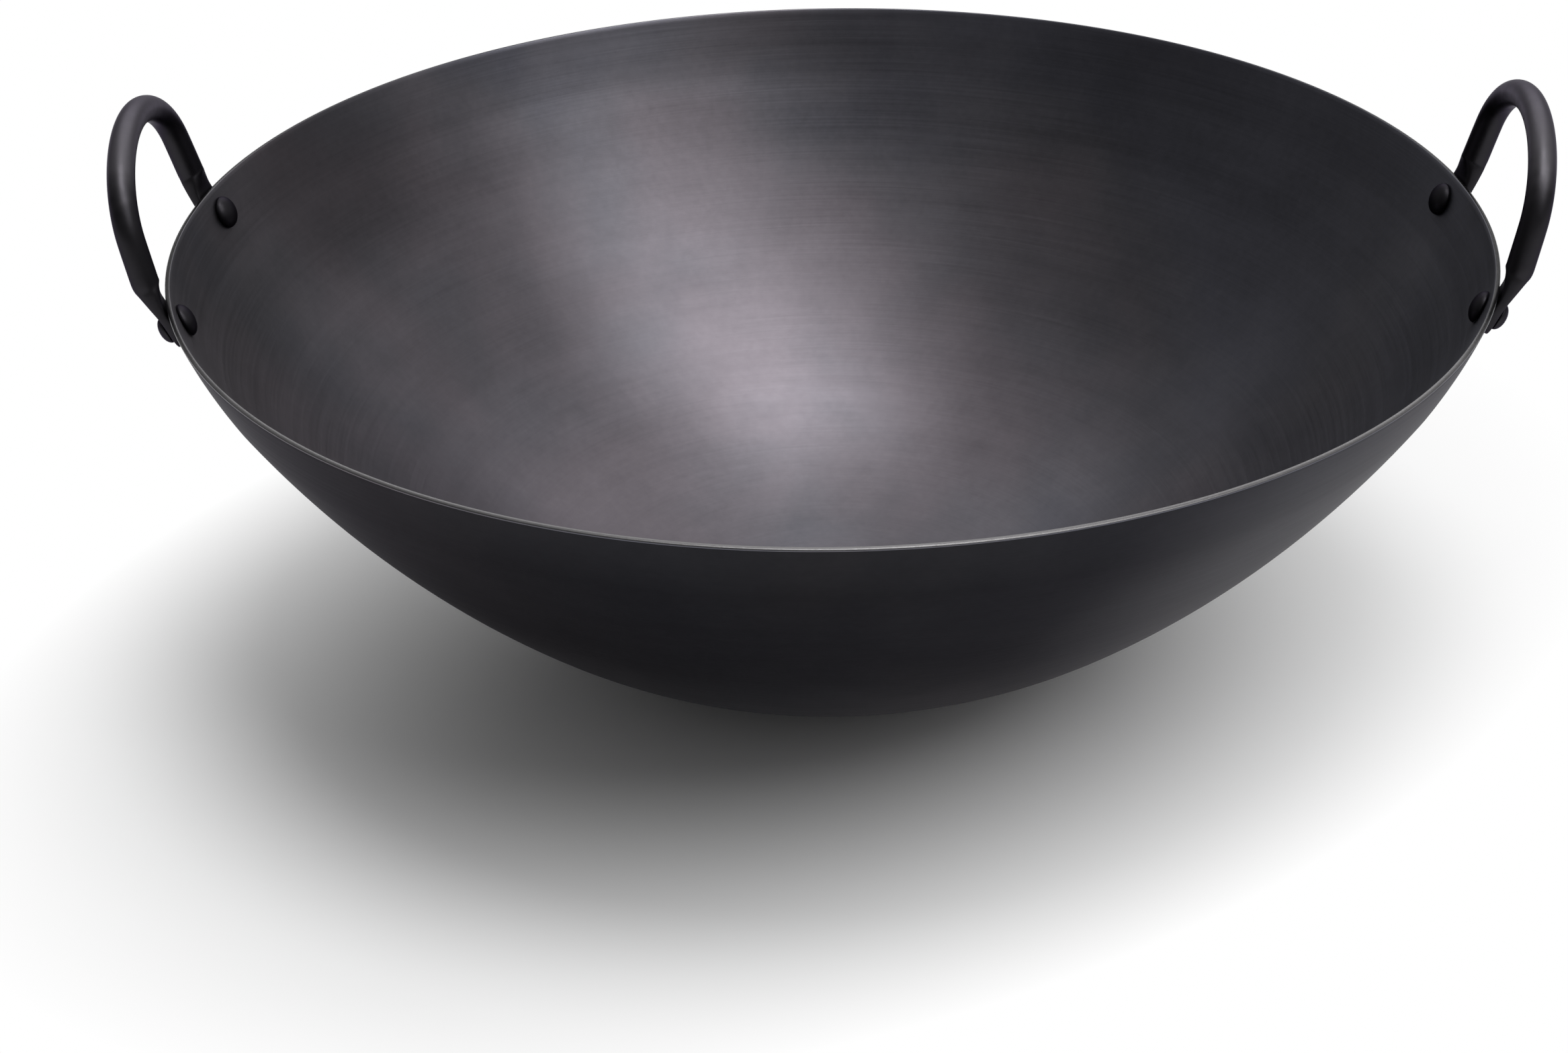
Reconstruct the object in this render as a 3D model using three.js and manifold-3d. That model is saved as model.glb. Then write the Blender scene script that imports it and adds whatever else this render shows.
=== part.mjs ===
// Two-handled wok: a thin spun bowl with a flat base, and two bent-bar handles on rivets.
// Millimetres, +Z up. The origin is the centre of the flat base and the handles lie on +X and -X.

import * as THREE from 'three';
import { mergeVertices } from 'three/addons/utils/BufferGeometryUtils.js';
import Module from 'manifold-3d';

const wasm = await Module();
wasm.setup();

const { degToRad, lerp } = THREE.MathUtils;

// Bowl, measured on its outside. The base turns up through a tight knuckle into the round lower bowl,
// the wall carries on from there, and a steeper band runs up to the rim.
const rimDiameter = 380;
const bowlDepth = 126.3;
const wallThickness = 1.5;
const baseDiameter = 60;
const knuckleRadius = 38;
const knuckleTurn = degToRad(10.1);
const lowerRadius = 178;
const wallStartSlope = degToRad(38);
const bandHeight = 20;
const bandRun = 9.7;
const bandTurn = degToRad(10);

// Rivets
const rivetSpacing = 77.5;
const rivetDrop = 8;
const shankDiameter = 6;
const innerHeadDiameter = 9.7;
const innerHeadHeight = 2.8;
const outerHeadDiameter = 8;
const outerHeadHeight = 2.4;

// Handles: a round bar with a flat tab at each end
const barDiameter = 8;
const loopRise = 36.6;
const loopLean = degToRad(14.6);
const archBase = 9; // centre of the arch above the roots of the legs
const archStart = degToRad(5.5); // where on the arch a leg ends
const rootRise = 6;
const tabThickness = 3;
const tabWidth = 12;

// Clearances: between seated faces, round a shank, past a rivet head and past the rim
const seatGap = 0.3;
const holeClearance = 0.3;
const headMargin = 0.6;
const rimMargin = 0.5;

// Facets
const bowlSegments = 80;
const knuckleSteps = 2;
const lowerSteps = 5;
const wallSteps = 5;
const bandSteps = 4;
const rivetSegments = 20;
const domeSteps = 4;
const barSides = 16;
const tipSteps = 4;
const taperSteps = 5;
const archSteps = 8;
const roundExponent = 2;
const tabExponent = 6;
const weldTolerance = 1e-4;

const rimRadius = rimDiameter / 2;

// The band is an arc between its foot and the rim
const bandFoot = { r: rimRadius - bandRun, z: bowlDepth - bandHeight };
const bandRadius = Math.hypot(bandRun, bandHeight) / (2 * Math.sin(bandTurn / 2));
const bandFootSlope = Math.atan2(bandHeight, bandRun) - bandTurn / 2;
const rimSlope = bandFootSlope + bandTurn;

// The rivets sit on the band. Inside, a flat head bridges the hollow of the wall under it.
const seatSlope = Math.acos(Math.cos(bandFootSlope) - (bandHeight - rivetDrop) / bandRadius);
const seatRadius = bandFoot.r + bandRadius * (Math.sin(seatSlope) - Math.sin(bandFootSlope));
const headHollow = ((innerHeadDiameter / 2) ** 2 / 2) * (1 / seatRadius + 1 / bandRadius);
const innerSeat = -wallThickness - headHollow - seatGap;
const outerSeat = tabThickness + 2 * seatGap;

const ironBlack = new THREE.MeshStandardMaterial({ color: 0x2b2a2e, roughness: 0.42, metalness: 0.75 });
const handleBlack = new THREE.MeshStandardMaterial({ color: 0x161618, roughness: 0.5, metalness: 0.6 });
const rivetBlack = new THREE.MeshStandardMaterial({ color: 0x131315, roughness: 0.45, metalness: 0.6 });

const upright = new THREE.Vector3(0, 0, 1);
const sideways = new THREE.Vector3(0, 1, 0);

// A closed geometry as a solid that can be joined and cut
function toSolid(geometry) {
  const bare = geometry.clone();
  bare.deleteAttribute('normal');
  bare.deleteAttribute('uv');
  const merged = mergeVertices(bare, weldTolerance);
  const index = merged.index.array;
  const kept = [];
  for (let i = 0; i < index.length; i += 3) {
    const [a, b, c] = index.subarray(i, i + 3);
    if (a !== b && b !== c && c !== a) kept.push(a, b, c);
  }
  const vertProperties = new Float32Array(merged.attributes.position.array);
  const triVerts = new Uint32Array(kept);
  return new wasm.Manifold(new wasm.Mesh({ numProp: 3, vertProperties, triVerts }));
}

function toGeometry(solid) {
  const { vertProperties, triVerts } = solid.getMesh();
  const geometry = new THREE.BufferGeometry();
  geometry.setAttribute('position', new THREE.BufferAttribute(vertProperties, 3));
  geometry.setIndex(new THREE.BufferAttribute(triVerts, 1));
  geometry.computeVertexNormals();
  return geometry;
}

function namedMesh(name, geometry, material) {
  const mesh = new THREE.Mesh(geometry, material);
  mesh.name = name;
  return mesh;
}

// Points along an arc of the bowl's outside, after its start and up to a steeper slope
function arcFrom(start, startSlope, endSlope, radius, steps) {
  return Array.from({ length: steps }, (_, i) => {
    const slope = lerp(startSlope, endSlope, (i + 1) / steps);
    const r = start.r + radius * (Math.sin(slope) - Math.sin(startSlope));
    const z = start.z + radius * (Math.cos(startSlope) - Math.cos(slope));
    return { r, z, slope };
  });
}

// Outside of the bowl from the edge of the base to the rim, with the slope of the wall at each point.
// The wall leaves the lower bowl at its slope and ends on the foot of the band, with a soft crease there.
function outsideProfile() {
  const baseEdge = { r: baseDiameter / 2, z: 0, slope: 0 };
  const knuckle = arcFrom(baseEdge, 0, knuckleTurn, knuckleRadius, knuckleSteps);
  const lower = arcFrom(knuckle.at(-1), knuckleTurn, wallStartSlope, lowerRadius, lowerSteps);
  const start = lower.at(-1);
  const run = bandFoot.r - start.r;
  const rise = bandFoot.z - start.z;
  const wallTurn = 2 * (Math.atan2(rise, run) - wallStartSlope);
  const wallRadius = Math.hypot(run, rise) / (2 * Math.sin(wallTurn / 2));
  const wall = arcFrom(start, wallStartSlope, wallStartSlope + wallTurn, wallRadius, wallSteps);
  wall.at(-1).slope = (wall.at(-1).slope + bandFootSlope) / 2;
  const band = arcFrom(bandFoot, bandFootSlope, rimSlope, bandRadius, bandSteps);
  return [baseEdge, ...knuckle, ...lower, ...wall, ...band];
}

// The sheet keeps its thickness all the way up, and the rim is trimmed level
function bowlSolid() {
  const outside = outsideProfile();
  const inside = outside.slice(0, -1).map(({ r, z, slope }) => ({
    r: r - wallThickness * Math.sin(slope),
    z: z + wallThickness * Math.cos(slope),
  }));
  inside.push({ r: rimRadius - wallThickness / Math.sin(rimSlope), z: bowlDepth });
  const profile = [...outside, ...inside.reverse()].map(({ r, z }) => new THREE.Vector2(r, z));
  profile.unshift(new THREE.Vector2(0, 0));
  profile.push(new THREE.Vector2(0, wallThickness));
  return toSolid(new THREE.LatheGeometry(profile, bowlSegments).rotateX(Math.PI / 2));
}

// Where a rivet goes through the band of the bowl at +X: its point on the outside of the wall, the way
// out of the wall and the way up it. side is -1 towards -Y and +1 towards +Y.
function rivetSeat(side) {
  const azimuth = side * Math.asin(rivetSpacing / 2 / seatRadius);
  const radial = new THREE.Vector3(Math.cos(azimuth), Math.sin(azimuth), 0);
  const point = radial.clone().multiplyScalar(seatRadius).setZ(bowlDepth - rivetDrop);
  const steep = Math.sin(seatSlope);
  const flat = Math.cos(seatSlope);
  const out = radial.clone().multiplyScalar(steep).addScaledVector(upright, -flat);
  const up = radial.clone().multiplyScalar(flat).addScaledVector(upright, steep);
  return { point, out, up };
}

// The hole for one shank, through the wall and the tab
function shankHole(seat) {
  const radius = shankDiameter / 2 + holeClearance;
  const hole = new THREE.CylinderGeometry(radius, radius, 2 * (outerSeat - innerSeat), rivetSegments);
  hole.applyQuaternion(new THREE.Quaternion().setFromUnitVectors(sideways, seat.out));
  return hole.translate(seat.point.x, seat.point.y, seat.point.z);
}

// One rivet along +Y: a dome inside the wall, the shank, and a low button on the tab
function rivetGeometry() {
  const dome = Array.from({ length: domeSteps + 1 }, (_, i) => (Math.PI / 2) * (i / domeSteps));
  const inner = dome.map((angle) => new THREE.Vector2(
    (innerHeadDiameter / 2) * Math.sin(angle),
    innerSeat - innerHeadHeight * Math.cos(angle),
  ));
  const shank = [innerSeat, outerSeat].map((y) => new THREE.Vector2(shankDiameter / 2, y));
  const outer = dome.map((angle) => new THREE.Vector2(
    (outerHeadDiameter / 2) * Math.sin(angle),
    outerSeat + outerHeadHeight * Math.cos(angle),
  ));
  const profile = [...inner, ...shank, ...outer.reverse()];
  return toGeometry(toSolid(new THREE.LatheGeometry(profile, rivetSegments)));
}

// One ring of the bar: its centre, the way the bar runs, the way out of the wall, and its half sizes.
// A higher exponent squares the ring up into a flat.
function barRing(centre, along, out, { halfWidth, halfIn, halfOut, exponent }) {
  const across = new THREE.Vector3().crossVectors(out, along).normalize();
  const squared = (value) => Math.sign(value) * Math.abs(value) ** (2 / exponent);
  return Array.from({ length: barSides }, (_, i) => {
    const angle = (2 * Math.PI * i) / barSides;
    const thick = squared(Math.sin(angle));
    return centre.clone()
      .addScaledVector(across, halfWidth * squared(Math.cos(angle)))
      .addScaledVector(out, thick * (thick > 0 ? halfOut : halfIn));
  });
}

const flatSection = {
  halfWidth: tabWidth / 2,
  halfIn: tabThickness / 2,
  halfOut: tabThickness / 2,
  exponent: tabExponent,
};
const roundSection = {
  halfWidth: barDiameter / 2,
  halfIn: barDiameter / 2,
  halfOut: barDiameter / 2,
  exponent: roundExponent,
};

// The end of the bar, from the round tip of its tab up to where the bar is full round.
// The outside tapers from just above the rivet head, and the inside only above the rim.
function tabEnd(seat) {
  const { point, out, up } = seat;
  const onTab = (s) => point.clone().addScaledVector(out, seatGap + tabThickness / 2).addScaledVector(up, s);
  const taperStart = outerHeadDiameter / 2 + headMargin;
  const insideStart = rivetDrop / Math.sin(seatSlope) + rimMargin;
  const root = (rivetDrop + rootRise) / Math.sin(seatSlope);
  const rings = [];
  for (let i = 0; i < tipSteps; i += 1) {
    const angle = (Math.PI / 2) * ((i + 0.5) / tipSteps);
    const halfWidth = (tabWidth / 2) * Math.sin(angle);
    rings.push(barRing(onTab((-tabWidth / 2) * Math.cos(angle)), up, out, { ...flatSection, halfWidth }));
  }
  for (let i = 0; i < taperSteps; i += 1) {
    const share = i / taperSteps;
    const s = lerp(taperStart, root, share);
    const insideShare = Math.max(0, (s - insideStart) / (root - insideStart));
    rings.push(barRing(onTab(s), up, out, {
      halfWidth: lerp(flatSection.halfWidth, roundSection.halfWidth, share),
      halfIn: lerp(flatSection.halfIn, roundSection.halfIn, insideShare),
      halfOut: lerp(flatSection.halfOut, roundSection.halfOut, share),
      exponent: lerp(tabExponent, roundExponent, share),
    }));
  }
  return { rings, root: onTab(root), up };
}

// Half of the round loop above a tab, in a plane that leans outward: half of an elliptic arch, and a straight
// leg that runs on from it down to the root
function loopHalf(tab) {
  const leanUp = new THREE.Vector3(Math.sin(loopLean), 0, Math.cos(loopLean));
  const leanOut = new THREE.Vector3(Math.cos(loopLean), 0, -Math.sin(loopLean));
  const archHeight = (bowlDepth + loopRise - tab.root.z) / Math.cos(loopLean) - archBase;
  const archHalf = (tab.root.y * Math.cos(archStart)) / (1 + (archBase / archHeight) * Math.sin(archStart));
  const archCentre = tab.root.clone().setY(0).addScaledVector(leanUp, archBase);
  const onArch = (angle) => archCentre.clone()
    .addScaledVector(sideways, archHalf * Math.cos(angle))
    .addScaledVector(leanUp, archHeight * Math.sin(angle));
  const legAlong = onArch(archStart).sub(tab.root).normalize();
  const rootAlong = tab.up.clone().add(legAlong).normalize();
  const rootAcross = new THREE.Vector3().crossVectors(leanOut, rootAlong);
  const rootOut = new THREE.Vector3().crossVectors(rootAlong, rootAcross).normalize();
  const rings = [barRing(tab.root, rootAlong, rootOut, roundSection)];
  for (let i = 0; i < archSteps; i += 1) {
    const angle = lerp(archStart, Math.PI / 2, i / (archSteps - 0.5)); // the other half goes on from half a step
    const along = leanUp.clone().multiplyScalar(archHeight * Math.cos(angle))
      .addScaledVector(sideways, -archHalf * Math.sin(angle)).normalize();
    rings.push(barRing(onArch(angle), along, leanOut, roundSection));
  }
  return rings;
}

// Skin over a run of rings, closed at both ends
function skinOf(rings) {
  const positions = rings.flat().flatMap(({ x, y, z }) => [x, y, z]);
  const last = rings.length - 1;
  const corner = (i, j) => i * barSides + (j % barSides);
  const index = [];
  for (let i = 0; i < last; i += 1) {
    for (let j = 0; j < barSides; j += 1) {
      index.push(corner(i, j), corner(i, j + 1), corner(i + 1, j + 1));
      index.push(corner(i, j), corner(i + 1, j + 1), corner(i + 1, j));
    }
  }
  for (let j = 1; j + 1 < barSides; j += 1) {
    index.push(corner(0, 0), corner(0, j + 1), corner(0, j));
    index.push(corner(last, 0), corner(last, j), corner(last, j + 1));
  }
  const geometry = new THREE.BufferGeometry();
  geometry.setAttribute('position', new THREE.Float32BufferAttribute(positions, 3));
  geometry.setIndex(index);
  return geometry;
}

// The whole handle at +X, one bent bar with a drilled tab at each end. The two legs are alike.
function handleGeometry(seats) {
  const tab = tabEnd(rivetSeat(1));
  const half = [...tab.rings, ...loopHalf(tab)];
  const otherHalf = half.map((ring) => ring.map(({ x, y, z }) => new THREE.Vector3(x, -y, z))).reverse();
  let bar = toSolid(skinOf([...half, ...otherHalf]));
  for (const seat of seats) bar = bar.subtract(toSolid(shankHole(seat)));
  return toGeometry(bar);
}

// A rivet standing in its seat
function placedRivet(name, geometry, seat) {
  const rivet = namedMesh(name, geometry, rivetBlack);
  rivet.position.copy(seat.point);
  rivet.quaternion.setFromUnitVectors(sideways, seat.out);
  return rivet;
}

const wok = new THREE.Group();
const seats = [rivetSeat(-1), rivetSeat(1)];
const handle = handleGeometry(seats);
const rivet = rivetGeometry();

// The left handle is the right one turned half round the bowl, so its front rivet is in the other seat
const sides = [
  { name: 'right', turn: 0, ends: ['front', 'rear'] },
  { name: 'left', turn: Math.PI, ends: ['rear', 'front'] },
];
let bowl = bowlSolid();
for (const { name, turn, ends } of sides) {
  const side = new THREE.Group();
  side.rotation.z = turn;
  side.add(namedMesh(`${name}_handle`, handle, handleBlack));
  seats.forEach((seat, i) => {
    side.add(placedRivet(`${name}_handle_${ends[i]}_rivet`, rivet, seat));
    bowl = bowl.subtract(toSolid(shankHole(seat).rotateZ(turn)));
  });
  wok.add(side);
}
wok.add(namedMesh('bowl', toGeometry(bowl), ironBlack));

export default wok;
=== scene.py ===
from math import acos, atan2, cos, hypot, pi, radians, sin

import bmesh
import bpy
from mathutils import Matrix, Vector


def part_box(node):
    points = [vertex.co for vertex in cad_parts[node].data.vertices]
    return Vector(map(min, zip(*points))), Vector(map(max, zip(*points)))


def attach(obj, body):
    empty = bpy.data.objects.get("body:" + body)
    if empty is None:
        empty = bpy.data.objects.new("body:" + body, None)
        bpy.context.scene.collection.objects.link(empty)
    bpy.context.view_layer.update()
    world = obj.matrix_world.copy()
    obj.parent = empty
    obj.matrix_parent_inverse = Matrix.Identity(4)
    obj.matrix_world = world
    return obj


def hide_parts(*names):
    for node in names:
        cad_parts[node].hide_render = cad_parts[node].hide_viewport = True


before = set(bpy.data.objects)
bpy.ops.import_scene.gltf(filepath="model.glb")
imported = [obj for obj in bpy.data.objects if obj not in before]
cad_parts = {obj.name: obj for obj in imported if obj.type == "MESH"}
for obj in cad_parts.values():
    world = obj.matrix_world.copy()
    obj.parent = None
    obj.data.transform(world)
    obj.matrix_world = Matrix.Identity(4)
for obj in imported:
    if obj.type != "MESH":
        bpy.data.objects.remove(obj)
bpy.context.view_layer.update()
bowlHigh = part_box("bowl")[1]
print("frame loaded:", len(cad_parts), "nodes")


# Shader maths: a wire is one output socket, and sums on it add Math nodes
class Wire:
    def __init__(self, tree, socket=None):
        self.tree = tree
        self.socket = socket

    # settings are set before the sockets are filled
    def add(self, kind, settings, inputs, output=0):
        node = self.tree.nodes.new(kind)
        for name, value in settings.items():
            setattr(node, name, value)
        for name, value in inputs.items():
            plug(self.tree, node.inputs[name], value)
        return Wire(self.tree, node.outputs[output])

    def math(self, operation, *others):
        return self.add("ShaderNodeMath", {"operation": operation}, dict(enumerate((self, *others))))

    def __add__(self, other):
        return self.math("ADD", other)

    def __radd__(self, other):
        return self.math("ADD", other)

    def __sub__(self, other):
        return self.math("SUBTRACT", other)

    def __rsub__(self, other):
        return self.add("ShaderNodeMath", {"operation": "SUBTRACT"}, {0: other, 1: self})

    def __mul__(self, other):
        return self.math("MULTIPLY", other)

    def __rmul__(self, other):
        return self.math("MULTIPLY", other)

    def __truediv__(self, other):
        return self.math("DIVIDE", other)

    def __rtruediv__(self, other):
        return self.add("ShaderNodeMath", {"operation": "DIVIDE"}, {0: other, 1: self})


def plug(tree, socket, value):
    if isinstance(value, Wire):
        tree.links.new(value.socket, socket)
    else:
        socket.default_value = value


# From 0 to 1 as value goes from low to high, with soft ends
def fade(value, low, high):
    settings = {"interpolation_type": "SMOOTHSTEP"}
    inputs = {"Value": value, "From Min": low, "From Max": high}
    return value.add("ShaderNodeMapRange", settings, inputs)


# A soft bump of 1 at a place, gone at the given distance from it
def stripe(value, place, reach):
    return 1 - fade((value - place).math("ABSOLUTE"), 0.0, reach)


def noise(vector, scale, detail, rough):
    inputs = {"Vector": vector, "Scale": scale, "Detail": detail, "Roughness": rough}
    return vector.add("ShaderNodeTexNoise", {}, inputs)


# A noise about its own middle, where it does nothing
def swing(value, amount):
    return (value - 0.5) * amount


def blendColours(factor, first, second):
    settings = {"data_type": "RGBA", "clamp_factor": True}
    inputs = {0: factor, 6: first, 7: second}
    return factor.add("ShaderNodeMix", settings, inputs, 2)


def joinAxes(x, y, z):
    return x.add("ShaderNodeCombineXYZ", {}, {"X": x, "Y": y, "Z": z})


def bump(height, distance):
    return height.add("ShaderNodeBump", {}, {"Height": height, "Distance": distance, "Strength": 1.0})


# A new material with its Principled shader, its place on the piece and its three axes
def startMaterial(name):
    material = bpy.data.materials.new(name)
    material.use_nodes = True
    tree = material.node_tree
    shader = tree.nodes["Principled BSDF"]
    place = Wire(tree).add("ShaderNodeTexCoord", {}, {}, "Object")
    split = place.add("ShaderNodeSeparateXYZ", {}, {"Vector": place}).socket.node
    axes = [Wire(tree, output) for output in split.outputs]
    return material, shader, place, axes


def finishMaterial(shader, **values):
    for name, value in values.items():
        plug(shader.id_data, shader.inputs[name.replace("_", " ")], value)


# Finishes

bowlFinish = {
    "inside": {
        "iron": (0.1205, 0.1165, 0.1315, 1),
        "warm": (0.1295, 0.1170, 0.1310, 1),   # straw heat tint
        "cold": (0.1090, 0.1090, 0.1300, 1),   # blue heat tint
        # rings round the axis: radius, reach, and how much brighter or darker they are; the broad bright
        # ring low in the bowl and the bright ring just under the rim are painted highlight
        "rings": ((0.100, 0.085, 0.24), (0.122, 0.008, 0.06), (0.171, 0.012, -0.12), (0.190, 0.009, 0.28)),
        "edgeGleam": (1, 1, 1, 1),
        "roughness": 0.40,
        # patches: middle, reach, how much brighter or darker they are, and how dull; they are partly stains
        # and partly painted highlight and shade
        "stainsAndPaintedLight": (
            ((-0.162, 0.090, 0.113), 0.055, -0.36, 0.0),
            ((-0.180, 0.015, 0.116), 0.055, -0.20, 0.0),
            ((0.152, 0.075, 0.098), 0.055, -0.24, 0.0),
            ((0.140, 0.028, 0.068), 0.045, -0.20, 0.0),
            ((0.105, 0.085, 0.052), 0.060, -0.18, 0.0),
            ((-0.010, 0.070, 0.012), 0.040, -0.12, 0.0),
            ((-0.090, 0.046, 0.028), 0.040, 0.16, 0.0),
            ((-0.045, 0.080, 0.022), 0.055, 0.14, 0.0),
            ((0.056, 0.075, 0.024), 0.060, 0.28, 0.0),
        ),
    },
    "outside": {
        # far darker than the inside's iron: partly a blackened outside and partly painted shade
        "iron": (0.021, 0.0205, 0.0228, 1),
        "warm": (0.024, 0.0226, 0.0246, 1),
        "cold": (0.019, 0.0190, 0.0218, 1),
        # the bright ring just under the rim is a painted sheen
        "rings": ((0.190, 0.010, 0.35),),
        "edgeGleam": (0.60, 0.59, 0.62, 1),     # soot dulls it where it is seen at a slant
        "roughness": 0.50,
        # a paler, dull bottom, partly soot and partly painted bounce light, and a paler, dull patch on the
        # right front flank, a painted sheen
        "stainsAndPaintedLight": (((0, 0, 0), 0.175, 3.2, 0.75), ((0.137, -0.120, 0.072), 0.100, 1.35, 0.45)),
    },
    "level": 0.92,             # of the iron's colour, before lines, specks, rings and patches
    "spotCore": 0.3,          # share of a spot's reach that is even
    "brushing": 0.5,
    "brushingTurn": 0.25,      # the shine runs up the wall, across the lines
    "lineWidth": 0.0011,
    "lineBreaks": 2.5,         # how soon a line changes on its way round
    "lineLevel": 0.24,
    "lineRoughness": 0.12,
    "lineDepth": 0.00002,
    "broadWidth": 0.0099,
    "broadBreaks": 1.5,
    "broadLevel": 0.2,
    "broadDepth": 0.6,         # against a fine line's
    "speckScale": 420.0,
    "speckLevel": 0.2,
    "mottleScale": 45.0,
    "mottleFade": (0.3, 0.7),
    "mottleLevel": 0.12,
    "cloudScale": 11.0,
    "cloudRoughness": 0.12,
    "tintHeight": 0.06,        # the tints are clouds, warmer below here and to the left
    "tintUp": 1.6,
    "tintRight": 0.7,
    "warmFade": (0.45, 0.7),
    "coldFade": (0.55, 0.3),
}


# Place on a lathed wall: x and y over the radius, and the way up the wall
def aroundTheBowl(axes):
    x, y, z = axes
    radius = (x * x + y * y + 1e-8).math("SQRT")     # never 0, because x and y are divided by it
    return radius, radius + z, x / radius, y / radius


# Long fine lines that run round the bowl, as a spinning tool leaves them
def spinningLines(wallway, cosine, sine, width, turnScale):
    vector = joinAxes(cosine * turnScale, sine * turnScale, wallway / width)
    return noise(vector, 1.0, detail=3.0, rough=0.6)


# 1 in the core of a spot, gone at its reach
def spotAt(place, middle, reach):
    inputs = {0: place, 1: middle}
    distance = place.add("ShaderNodeVectorMath", {"operation": "DISTANCE"}, inputs, "Value")
    return fade(distance, reach, bowlFinish["spotCore"] * reach)


# Straw and blue tints in large clouds
def heatTint(cloud, axes, finish):
    above = axes[2] - bowlFinish["tintHeight"]
    warmth = cloud - above * bowlFinish["tintUp"] - axes[0] * bowlFinish["tintRight"]
    warmed = blendColours(fade(warmth, *bowlFinish["warmFade"]), finish["iron"], finish["warm"])
    return blendColours(fade(warmth, *bowlFinish["coldFade"]), warmed, finish["cold"])


def bowlIron(name, side):
    finish = bowlFinish[side]
    material, shader, place, axes = startMaterial(name)
    radius, wallway, cosine, sine = aroundTheBowl(axes)
    lines = spinningLines(wallway, cosine, sine, bowlFinish["lineWidth"], bowlFinish["lineBreaks"])
    broad = spinningLines(wallway, cosine, sine, bowlFinish["broadWidth"], bowlFinish["broadBreaks"])
    cloud = noise(place, bowlFinish["cloudScale"], detail=3.0, rough=0.5)
    speck = noise(place, bowlFinish["speckScale"], detail=2.0, rough=0.6)
    mottle = fade(noise(place, bowlFinish["mottleScale"], detail=4.0, rough=0.6), *bowlFinish["mottleFade"])
    level = bowlFinish["level"] + swing(lines, bowlFinish["lineLevel"])
    level = level + swing(broad, bowlFinish["broadLevel"]) + swing(speck, bowlFinish["speckLevel"])
    # brighter and darker rings round the axis, some of them painted highlight and sheen
    for ringRadius, reach, amount in finish["rings"]:
        level = level + stripe(radius, ringRadius, reach) * amount
    level = level * (1 - bowlFinish["mottleLevel"] / 2 + mottle * bowlFinish["mottleLevel"])
    bright = 1.0
    # brighter and darker patches, partly stains and partly painted highlight and shade
    for middle, reach, amount, dull in finish["stainsAndPaintedLight"]:
        spot = spotAt(place, middle, reach)
        level = level * (1 + spot * amount)
        if dull:
            bright = bright - spot * dull
    settings = {"data_type": "RGBA", "blend_type": "MULTIPLY"}
    inputs = {0: 1.0, 6: heatTint(cloud, axes, finish), 7: joinAxes(level, level, level)}
    shaded = level.add("ShaderNodeMix", settings, inputs, 2)
    rough = swing(lines, bowlFinish["lineRoughness"]) + swing(cloud, bowlFinish["cloudRoughness"])
    finishMaterial(
        shader,
        Base_Color=shaded,
        Metallic=bright,
        Roughness=finish["roughness"] + rough,
        Specular_Tint=finish["edgeGleam"],
        Anisotropic=bowlFinish["brushing"],
        Anisotropic_Rotation=bowlFinish["brushingTurn"],
        Normal=bump(lines + broad * bowlFinish["broadDepth"], bowlFinish["lineDepth"]),
    )
    return material


edgeFinish = {
    "bare": (0.165, 0.161, 0.164, 1),
    "dark": (0.022, 0.0212, 0.0232, 1),
    "paleFrontFade": (-0.02, -0.12),    # along Y: pale in front, a painted highlight along the front of the rim
    "wearAndSheenScale": 60.0,
    "wearAndSheenReach": 0.08,
    "roughness": 0.36,
    "scratchScale": 900.0,
    "scratchRoughness": 0.2,
    "scratchDepth": 0.00003,
}


# The rim's edge: pale bare iron only in front and dark elsewhere, which paints a highlight along the front
def rimEdgeIron():
    material, shader, place, axes = startMaterial("rimEdgeIron")
    scratch = noise(place, edgeFinish["scratchScale"], detail=2.0, rough=0.6)
    wearAndSheen = noise(place, edgeFinish["wearAndSheenScale"], detail=3.0, rough=0.6)
    # pale in front: a painted highlight along the front of the rim
    paleFront = fade(axes[1] + swing(wearAndSheen, edgeFinish["wearAndSheenReach"]), *edgeFinish["paleFrontFade"])
    finishMaterial(
        shader,
        Base_Color=blendColours(paleFront, edgeFinish["dark"], edgeFinish["bare"]),
        Metallic=1.0,
        Roughness=edgeFinish["roughness"] + swing(scratch, edgeFinish["scratchRoughness"]),
        Normal=bump(scratch, edgeFinish["scratchDepth"]),
    )
    return material


barFinish = {
    "iron": (0.031, 0.0296, 0.0332, 1),
    "wearAndSheen": (0.109, 0.1040, 0.115, 1),
    "wearAndSheenFade": (0.1505, 0.1605),      # heights: the top of the loop is lighter, partly grip wear and partly a painted highlight
    "edgeGleam": (0.5, 0.48, 0.54, 1),
    "roughness": 0.45,
    "grainScale": 260.0,
    "grainRoughness": 0.2,
    "grainDepth": 0.00006,
    "patchScale": 45.0,
    "patchReach": 0.02,        # how far the patches move the edge of the lighter top
    "patchRoughness": 0.15,
    "patchDepth": 2.0,         # against the grain's
}


def barIron(name):
    material, shader, place, axes = startMaterial(name)
    grain = noise(place, barFinish["grainScale"], detail=4.0, rough=0.6)
    patch = noise(place, barFinish["patchScale"], detail=3.0, rough=0.55)
    # the top of the loop is lighter: partly grip wear, partly a painted highlight
    wearAndSheen = fade(axes[2] + swing(patch, barFinish["patchReach"]), *barFinish["wearAndSheenFade"])
    rough = swing(grain, barFinish["grainRoughness"]) + swing(patch, barFinish["patchRoughness"])
    finishMaterial(
        shader,
        Base_Color=blendColours(wearAndSheen, barFinish["iron"], barFinish["wearAndSheen"]),
        Metallic=1.0,
        Roughness=barFinish["roughness"] + rough,
        Specular_Tint=barFinish["edgeGleam"],
        Normal=bump(grain + patch * barFinish["patchDepth"], barFinish["grainDepth"]),
    )
    return material


# Modelling helpers

mergeDistance = 1e-6


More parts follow.
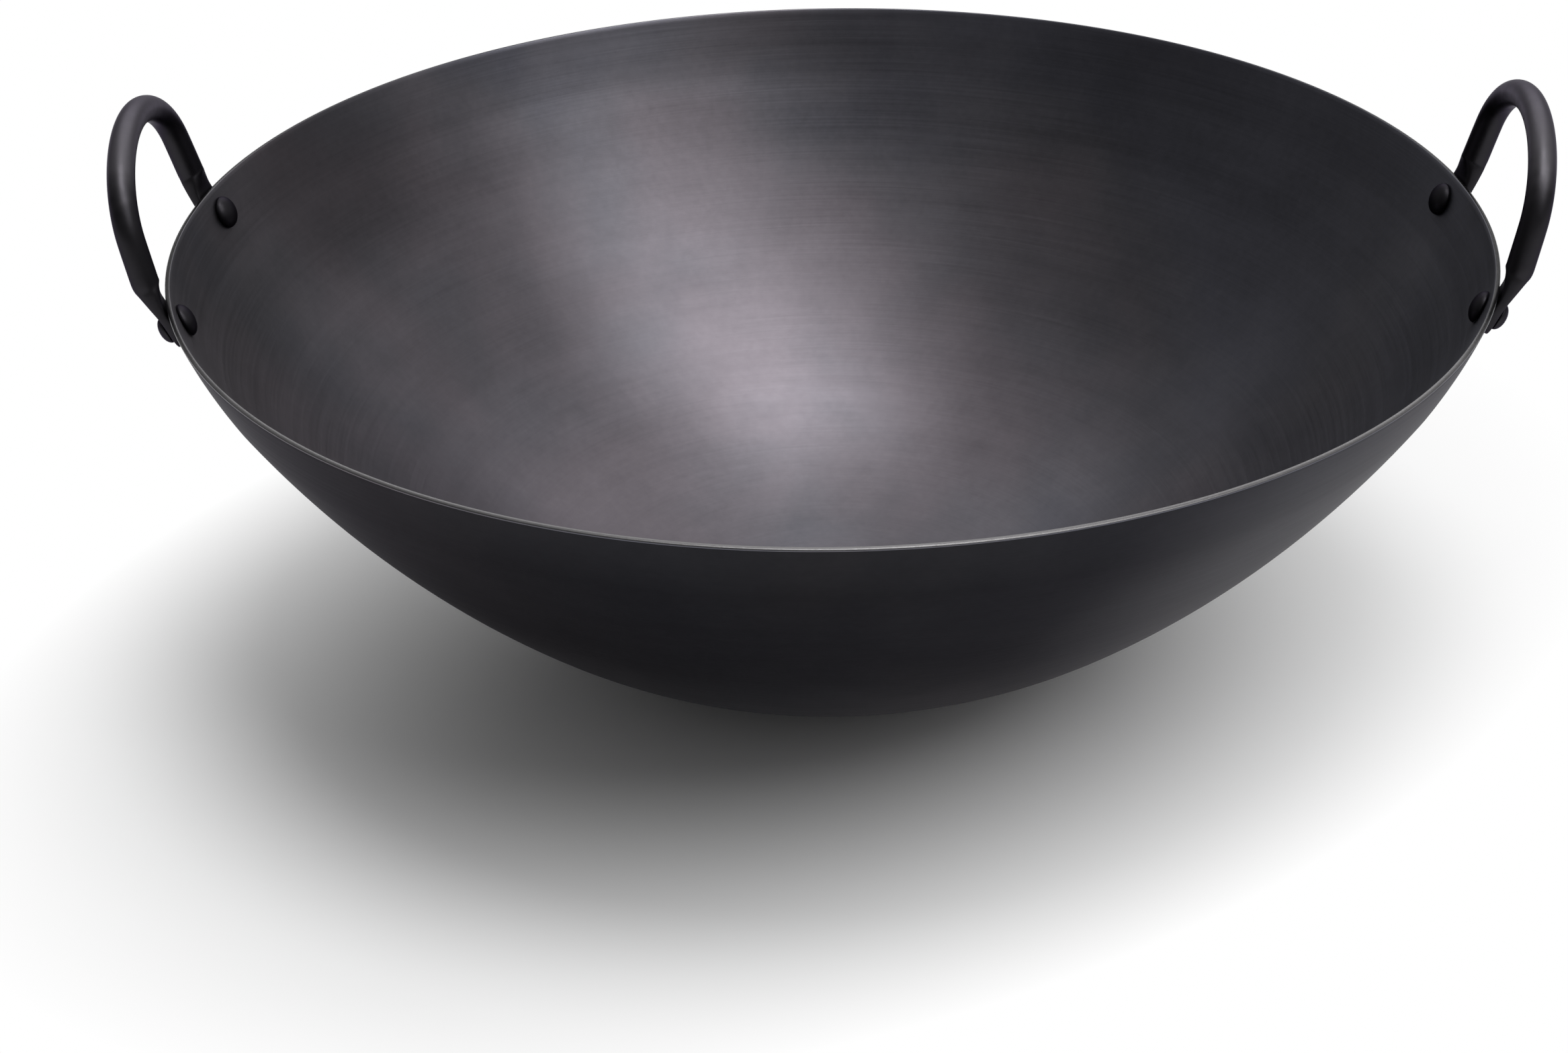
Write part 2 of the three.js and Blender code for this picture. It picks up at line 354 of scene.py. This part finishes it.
# A finished mesh as a piece of the wok, in the place of its node
def addPiece(name, bm, materials):
    mesh = bpy.data.meshes.new(name)
    bm.to_mesh(mesh)
    bm.free()
    mesh.shade_smooth()
    for material in materials:
        mesh.materials.append(material)
    piece = bpy.data.objects.new(name, mesh)
    bpy.context.collection.objects.link(piece)
    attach(piece, "root")
    return piece


# A line of the profile from a vertex to a point in the XZ plane
def lineTo(bm, vert, x, z):
    tip = bmesh.ops.extrude_vert_indiv(bm, verts=[vert])["verts"][0]
    tip.co = (x, 0, z)
    return tip


# An arc of the profile that leaves a vertex at one slope and turns up to another
def arcTo(bm, vert, radius, startSlope, endSlope, steps):
    centre = vert.co + radius * Vector((-sin(startSlope), 0, cos(startSlope)))
    turn = endSlope - startSlope
    spun = bmesh.ops.spin(bm, geom=[vert], cent=centre, axis=(0, -1, 0), angle=turn, steps=steps)
    return [item for item in spun["geom_last"] if isinstance(item, bmesh.types.BMVert)][0]


# Turns a profile all the way round Z and closes its poles
def turnRound(bm, steps):
    geometry = bm.verts[:] + bm.edges[:]
    axis = (0, 0, 1)
    bmesh.ops.spin(bm, geom=geometry, cent=(0, 0, 0), axis=axis, angle=2 * pi, steps=steps, use_merge=True)
    bmesh.ops.remove_doubles(bm, verts=bm.verts, dist=mergeDistance)
    bmesh.ops.recalc_face_normals(bm, faces=bm.faces)


# Bowl

bowl = {
    "rimRadius": bowlHigh.x,
    "depth": bowlHigh.z,
    "wall": 0.0015,
    "baseRadius": 0.030,
    "knuckleRadius": 0.038,
    "knuckleSlope": radians(10.1),
    "lowerRadius": 0.178,
    "wallSlope": radians(38),
    "bandHeight": 0.020,
    "bandRun": 0.0097,
    "bandTurn": radians(10),
    "edgeRounding": 0.0004,
    "bareShare": 0.2,             # share of the rounding that is bare iron, too
    "steps": (6, 16, 20, 10),     # along the knuckle, the lower bowl, the wall and the band
    "turnSteps": 288,
}

bandChord = hypot(bowl["bandRun"], bowl["bandHeight"])
bandRadius = bandChord / (2 * sin(bowl["bandTurn"] / 2))
bandSlope = atan2(bowl["bandHeight"], bowl["bandRun"]) - bowl["bandTurn"] / 2
rimSlope = bandSlope + bowl["bandTurn"]


# Radius, slopes and steps of the arcs from the base up to the rim
def wallArcs():
    knuckle, slope, lower = bowl["knuckleSlope"], bowl["wallSlope"], bowl["lowerRadius"]
    startX = bowl["baseRadius"] + bowl["knuckleRadius"] * sin(knuckle) + lower * (sin(slope) - sin(knuckle))
    startZ = bowl["knuckleRadius"] * (1 - cos(knuckle)) + lower * (cos(knuckle) - cos(slope))
    run = bowl["rimRadius"] - bowl["bandRun"] - startX
    rise = bowl["depth"] - bowl["bandHeight"] - startZ
    turn = 2 * (atan2(rise, run) - slope)
    wallRadius = hypot(run, rise) / (2 * sin(turn / 2))
    arcs = [
        (bowl["knuckleRadius"], 0.0, knuckle),
        (lower, knuckle, slope),
        (wallRadius, slope, slope + turn),
        (bandRadius, bandSlope, rimSlope),
    ]
    return [(*arc, steps) for arc, steps in zip(arcs, bowl["steps"])]


# One face of the sheet as a line from the axis to the rim
def sheetFace(bm, inset):
    middle = bm.verts.new((0, 0, inset))
    tip = lineTo(bm, middle, bowl["baseRadius"], inset)
    for radius, startSlope, endSlope, steps in wallArcs():
        tip = arcTo(bm, tip, radius - inset, startSlope, endSlope, steps)
    return tip


def makeBowl(materials):
    inside, bare = 1, 2      # places in the materials; the outside is 0
    bm = bmesh.new()
    sheetFace(bm, 0.0)
    tip = sheetFace(bm, bowl["wall"]).co.copy()
    # the rim is cut square to the sheet, with its inner edge on top
    wayUp = Vector((cos(rimSlope), 0, sin(rimSlope)))
    rimPoint = tip - wayUp * (tip.z - bowl["depth"]) / wayUp.z
    profile = bm.verts[:] + bm.edges[:]
    cut = bmesh.ops.bisect_plane(
        bm, geom=profile, dist=mergeDistance, plane_co=rimPoint, plane_no=wayUp, clear_outer=True,
    )["geom_cut"]
    rimEnds = [item for item in cut if isinstance(item, bmesh.types.BMVert)]
    rimRings = [(vert.co.x, vert.co.z) for vert in rimEnds]
    bm.edges.new(rimEnds)
    turnRound(bm, bowl["turnSteps"])
    rimEdges = [edge for edge in bm.edges if any(isOnRing(edge, *ring) for ring in rimRings)]
    bmesh.ops.bevel(
        bm, geom=rimEdges, offset=bowl["edgeRounding"], segments=2, profile=0.5, affect="EDGES", material=-1,
    )
    for face in bm.faces:
        middle = face.calc_center_median()
        above = (hypot(middle.x, middle.y) - rimPoint.x) * wayUp.x + (middle.z - rimPoint.z) * wayUp.z
        if above > -bowl["bareShare"] * bowl["edgeRounding"]:
            face.material_index = bare
        elif face.normal.z > 0:
            face.material_index = inside
    piece = addPiece("wokBowl", bm, materials)
    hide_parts("bowl")
    print("bowl:", len(piece.data.polygons), "faces")


# Whether an edge is part of the ring that a point of the profile makes
def isOnRing(edge, radius, height):
    offsets = [hypot(hypot(*vert.co.xy) - radius, vert.co.z - height) for vert in edge.verts]
    return max(offsets) < 10 * mergeDistance


# Rivets

rivet = {
    "spacing": 0.0775,
    "drop": 0.008,
    "shank": 0.006,
    "innerHead": 0.0097,
    "innerHeight": 0.0028,
    "outerHead": 0.008,
    "outerHeight": 0.0024,
    "gap": 0.0003,
    "domeSteps": 8,
    "turnSteps": 40,
}

tab = {"thickness": 0.003, "width": 0.012}

seatSlope = acos(cos(bandSlope) - (bowl["bandHeight"] - rivet["drop"]) / bandRadius)
seatRadius = bowl["rimRadius"] - bowl["bandRun"] + bandRadius * (sin(seatSlope) - sin(bandSlope))
headHollow = (rivet["innerHead"] / 2) ** 2 / 2 * (1 / seatRadius + 1 / bandRadius)
innerSeat = -bowl["wall"] - headHollow - rivet["gap"]
outerSeat = tab["thickness"] + 2 * rivet["gap"]


# Where a rivet of the handle at +X goes through the band: its point, the way out and the way up
def rivetSeat(side):
    sine = side * rivet["spacing"] / 2 / seatRadius
    radial = Vector(((1 - sine * sine) ** 0.5, sine, 0))
    upright = Vector((0, 0, 1))
    point = radial * seatRadius + upright * (bowl["depth"] - rivet["drop"])
    out = radial * sin(seatSlope) - upright * cos(seatSlope)
    up = radial * cos(seatSlope) + upright * sin(seatSlope)
    return point, out, up


# A quarter round of a head, from its pole out to its edge
def domeFrom(bm, vert, height, reach, seat):
    start = set(bm.verts) - {vert}
    vert.co = (0, 0, -1)
    arcTo(bm, vert, 1.0, 0.0, pi / 2, rivet["domeSteps"])
    dome = [item for item in bm.verts if item not in start]
    bmesh.ops.scale(bm, vec=(reach, 1, height), verts=dome)
    bmesh.ops.translate(bm, vec=(0, 0, seat), verts=dome)
    return dome[-1]


def makeRivet(name, side, turn, material):
    bm = bmesh.new()
    inner = domeFrom(bm, bm.verts.new((0, 0, 0)), rivet["innerHeight"], rivet["innerHead"] / 2, innerSeat)
    outer = domeFrom(bm, bm.verts.new((0, 0, 0)), -rivet["outerHeight"], rivet["outerHead"] / 2, outerSeat)
    shankTop = lineTo(bm, lineTo(bm, inner, rivet["shank"] / 2, innerSeat), rivet["shank"] / 2, outerSeat)
    bm.edges.new((shankTop, outer))
    turnRound(bm, rivet["turnSteps"])
    point, out, up = rivetSeat(side)
    across = up.cross(out)
    place = Matrix((across, up, out)).transposed().to_4x4()
    place.translation = point
    bmesh.ops.transform(bm, matrix=Matrix.Rotation(turn, 4, "Z") @ place, verts=bm.verts)
    return addPiece(name, bm, [material])


# Handles

loop = {
    "bar": 0.008,
    "rise": 0.0366,        # centre of the bar above the rim at its highest
    "lean": radians(14.6),
    "archBase": 0.009,     # centre of the arch above the roots of the legs
    "archStart": radians(5.5),     # where on the arch a leg ends
    "rootRise": 0.006,
    "rootBend": 0.0012,    # close rings keep the bend above the tab crisp
    "headMargin": 0.0006,
    "rimMargin": 0.0005,
    "flatness": 6.0,       # how square the beaten tab is; 2 is round
    "ringSides": 24,
    "archSteps": 12,
    "taperSteps": 6,
    "tipSteps": 5,
}


# Stations of half a handle, from the middle of its arch down to the tip of the tab.
# Each is a centre, the way the bar runs, the way out of the wall, half width, half in, half out, squareness.
def barStations():
    point, out, up = rivetSeat(1)
    half = loop["bar"] / 2
    flat = tab["thickness"] / 2
    wide = tab["width"] / 2
    onTab = point + out * (rivet["gap"] + flat)
    rootAt = (rivet["drop"] + loop["rootRise"]) / sin(seatSlope)
    insideAt = rivet["drop"] / sin(seatSlope) + loop["rimMargin"]
    taperAt = rivet["outerHead"] / 2 + loop["headMargin"]
    root = onTab + up * rootAt
    leanUp = Vector((sin(loop["lean"]), 0, cos(loop["lean"])))
    leanOut = Vector((cos(loop["lean"]), 0, -sin(loop["lean"])))
    side = Vector((0, 1, 0))
    archStart = loop["archStart"]
    archHeight = (bowl["depth"] + loop["rise"] - root.z) / leanUp.z - loop["archBase"]
    archHalf = root.y * cos(archStart) / (1 + loop["archBase"] / archHeight * sin(archStart))
    archCentre = root - side * root.y + leanUp * loop["archBase"]
    stations = []
    for i in range(loop["archSteps"] + 1):
        angle = pi / 2 + (archStart - pi / 2) * i / loop["archSteps"]
        centre = archCentre + side * archHalf * cos(angle) + leanUp * archHeight * sin(angle)
        along = (side * archHalf * sin(angle) - leanUp * archHeight * cos(angle)).normalized()
        stations.append((centre, along, leanOut, half, half, half, 2.0))
    leg = (root - centre).normalized()
    bend = (leg - up).normalized()
    bendOut = bend.cross(leanOut.cross(bend)).normalized()
    stations.append((root - leg * loop["rootBend"], leg, leanOut, half, half, half, 2.0))
    stations.append((root, bend, bendOut, half, half, half, 2.0))
    stations.append((root - up * loop["rootBend"], -up, out, half, half, half, 2.0))
    for i in reversed(range(loop["taperSteps"])):
        share = i / loop["taperSteps"]
        at = taperAt + (rootAt - taperAt) * share
        inside = max(0.0, (at - insideAt) / (rootAt - insideAt))
        stations.append((
            onTab + up * at, -up, out,
            wide + (half - wide) * share,
            flat + (half - flat) * inside,
            flat + (half - flat) * share,
            loop["flatness"] + (2.0 - loop["flatness"]) * share,
        ))
    for i in range(loop["tipSteps"] + 1):
        angle = pi / 2 * (1 - i / (loop["tipSteps"] + 0.5))
        stations.append((
            onTab - up * wide * cos(angle), -up, out, wide * sin(angle), flat, flat, loop["flatness"],
        ))
    return stations


# Puts one ring of the bar at its station
def setRing(verts, sector, station):
    centre, along, out, halfWidth, halfIn, halfOut, squareness = station
    across = out.cross(along).normalized()
    for vert in verts:
        angle = 2 * pi * vert[sector] / loop["ringSides"]
        wide = squared(cos(angle), squareness)
        thick = squared(sin(angle), squareness)
        vert.co = centre + across * halfWidth * wide + out * thick * (halfOut if thick > 0 else halfIn)


def squared(value, exponent):
    return (1 if value > 0 else -1) * abs(value) ** (2 / exponent)


def makeHandle(name, turn, material):
    bm = bmesh.new()
    sector = bm.verts.layers.int.new("sector")
    sides, radius = loop["ringSides"], loop["bar"] / 2
    ring = bmesh.ops.create_circle(bm, cap_ends=False, segments=sides, radius=radius)["verts"]
    for i, vert in enumerate(ring):
        vert[sector] = i
    stations = barStations()
    setRing(ring, sector, stations[0])
    edges = bm.edges[:]
    for station in stations[1:]:
        grown = bmesh.ops.extrude_edge_only(bm, edges=edges)["geom"]
        edges = [item for item in grown if isinstance(item, bmesh.types.BMEdge)]
        setRing([item for item in grown if isinstance(item, bmesh.types.BMVert)], sector, station)
    bmesh.ops.edgeloop_fill(bm, edges=edges)
    half = bm.verts[:] + bm.edges[:] + bm.faces[:]
    bmesh.ops.mirror(bm, geom=half, merge_dist=mergeDistance, axis="Y")
    bmesh.ops.remove_doubles(bm, verts=bm.verts, dist=mergeDistance)
    bmesh.ops.recalc_face_normals(bm, faces=bm.faces)
    bmesh.ops.rotate(bm, cent=(0, 0, 0), matrix=Matrix.Rotation(turn, 3, "Z"), verts=bm.verts)
    piece = addPiece(name, bm, [material])
    smooth = piece.modifiers.new("rounding", "SUBSURF")
    smooth.levels = 1
    smooth.render_levels = 1
    return piece


makeBowl([bowlIron("bowlOutside", "outside"), bowlIron("bowlInside", "inside"), rimEdgeIron()])

handleIron = barIron("handleIron")
rivetIron = barIron("rivetIron")
for sideName, turn, ends in (("right", 0.0, ("front", "rear")), ("left", pi, ("rear", "front"))):
    handle = makeHandle(sideName + "Handle", turn, handleIron)
    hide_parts(sideName + "_handle")
    for side, end in zip((-1, 1), ends):
        head = makeRivet(sideName + end.capitalize() + "Rivet", side, turn, rivetIron)
        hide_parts(f"{sideName}_handle_{end}_rivet")
print("handles and rivets made")


# Floor, light and camera

studio = {
    "floorSize": 14.0,
    "floorSteps": 8,
    "floorDrop": 0.0003,
    "floorColour": (0.97, 0.97, 0.97, 1),
    "floorRoughness": 0.85,
    "grainScale": 120.0,
    "grainRoughness": 0.1,
    "shadowMiddle": (-0.006, 0.006, 0),
    "shadowReach": (0.288, 0.197, 1),      # the paper is white from here on
    "shadowTurn": (0, 0, radians(43)),
    "shadowEdge": 4.35,
    "surroundLevel": 0.34,                 # half-way between the bright side and the dark side
    "surroundBright": (0.48, 0.80, 0),     # towards the bright side
    "horizonLevel": 0.5,                   # it dims to this share at eye level
    "horizonFade": (0.0, 0.4),
}

# Strength, angle across, elevation, and azimuth clockwise from +Y as seen from above
softLights = {
    "overheadLight": (0.86, radians(28), radians(87), radians(100)),
    "sideLight": (0.96, radians(40), radians(56), radians(126)),
    "frontLight": (0.04, radians(34), radians(26), radians(-150)),
    "backLight": (0.62, radians(50), radians(40), radians(4)),
}


def makeFloor():
    bm = bmesh.new()
    steps = studio["floorSteps"]
    bmesh.ops.create_grid(bm, x_segments=steps, y_segments=steps, size=studio["floorSize"])
    bmesh.ops.translate(bm, vec=(0, 0, -studio["floorDrop"]), verts=bm.verts)
    mesh = bpy.data.meshes.new("floor")
    bm.to_mesh(mesh)
    bm.free()
    floor = bpy.data.objects.new("floor", mesh)
    bpy.context.collection.objects.link(floor)
    mesh.materials.append(floorPaper())


# White paper round the wok, for what is seen directly or in the metal; the shadow stays
def floorPaper():
    material, shader, place, _ = startMaterial("floorPaper")
    grain = noise(place, studio["grainScale"], detail=2.0, rough=0.5)
    finishMaterial(
        shader,
        Base_Color=studio["floorColour"],
        Roughness=studio["floorRoughness"] + grain * studio["grainRoughness"],
        Specular_IOR_Level=0.0,
    )
    tree = material.node_tree
    ellipse = {0: place, 1: studio["shadowMiddle"], 2: studio["shadowTurn"], 3: studio["shadowReach"]}
    away = place.add("ShaderNodeMapping", {"vector_type": "TEXTURE"}, ellipse)
    away = place.add("ShaderNodeVectorMath", {"operation": "LENGTH"}, {0: away}, "Value")
    rays = place.add("ShaderNodeLightPath", {}, {}).socket.node.outputs
    rayNames = ("Is Camera Ray", "Is Glossy Ray", "Is Transmission Ray")
    direct, mirrored, through = [Wire(tree, rays[name]) for name in rayNames]
    seen = direct + mirrored + through
    white = place.add("ShaderNodeEmission", {}, {"Strength": 1.0})
    paled = away.math("MINIMUM", 1.0).math("POWER", studio["shadowEdge"]) * seen.math("MINIMUM", 1.0)
    paper = place.add("ShaderNodeMixShader", {}, {0: paled, 1: Wire(tree, shader.outputs[0]), 2: white})
    plug(tree, tree.nodes["Material Output"].inputs["Surface"], paper)
    return material


# Grey all round, paler behind the wok on the right
def makeSurround():
    world = bpy.data.worlds.new("surround")
    world.use_nodes = True
    bpy.context.scene.world = world
    tree = world.node_tree
    way = Wire(tree).add("ShaderNodeTexCoord", {}, {}, "Generated")
    inputs = {0: way, 1: studio["surroundBright"]}
    facing = way.add("ShaderNodeVectorMath", {"operation": "DOT_PRODUCT"}, inputs, "Value")
    height = way.add("ShaderNodeSeparateXYZ", {}, {"Vector": way}, "Z")
    dimmed = studio["horizonLevel"] + fade(height, *studio["horizonFade"]) * (1 - studio["horizonLevel"])
    plug(tree, tree.nodes["Background"].inputs["Strength"], (facing + 1) * dimmed * studio["surroundLevel"])
    tree.nodes["Background"].inputs["Color"].default_value = (1, 1, 1, 1)


def makeSoftLight(name, strength, angle, elevation, azimuth):
    data = bpy.data.lights.new(name, "SUN")
    data.energy = strength
    data.angle = angle
    light = bpy.data.objects.new(name, data)
    bpy.context.collection.objects.link(light)
    way = Vector((cos(elevation) * sin(azimuth), cos(elevation) * cos(azimuth), sin(elevation)))
    light.rotation_mode = "QUATERNION"
    light.rotation_quaternion = way.to_track_quat("Z", "Y")


viewpoint = {
    "lens": 84.41,             # mm
    "sensor": 36.0,            # mm
    "distance": 1.0604,        # from the centre of the rim
    "elevation": radians(23.529),
    "azimuth": radians(0.4155),
    "pan": radians(0.783),
    "tilt": radians(-4.525),
    "roll": radians(-0.776),
}


def makeCamera():
    data = bpy.data.cameras.new("camera")
    data.sensor_width = viewpoint["sensor"]
    data.lens = viewpoint["lens"]
    camera = bpy.data.objects.new("camera", data)
    bpy.context.collection.objects.link(camera)
    orbit = (
        Matrix.Rotation(viewpoint["azimuth"], 4, "Z")
        @ Matrix.Rotation(pi / 2 - viewpoint["elevation"], 4, "X")
    )
    aim = (
        Matrix.Rotation(viewpoint["pan"], 4, "Y")
        @ Matrix.Rotation(viewpoint["tilt"], 4, "X")
        @ Matrix.Rotation(viewpoint["roll"], 4, "Z")
    )
    rimCentre = Matrix.Translation((0, 0, bowl["depth"]))
    back = Matrix.Translation((0, 0, viewpoint["distance"]))
    camera.matrix_world = rimCentre @ orbit @ back @ aim
    bpy.context.scene.camera = camera


makeFloor()
makeSurround()
for lightName, values in softLights.items():
    makeSoftLight(lightName, *values)
makeCamera()
bpy.context.scene.view_settings.view_transform = "Standard"
print("studio ready")

bpy.context.view_layer.update()
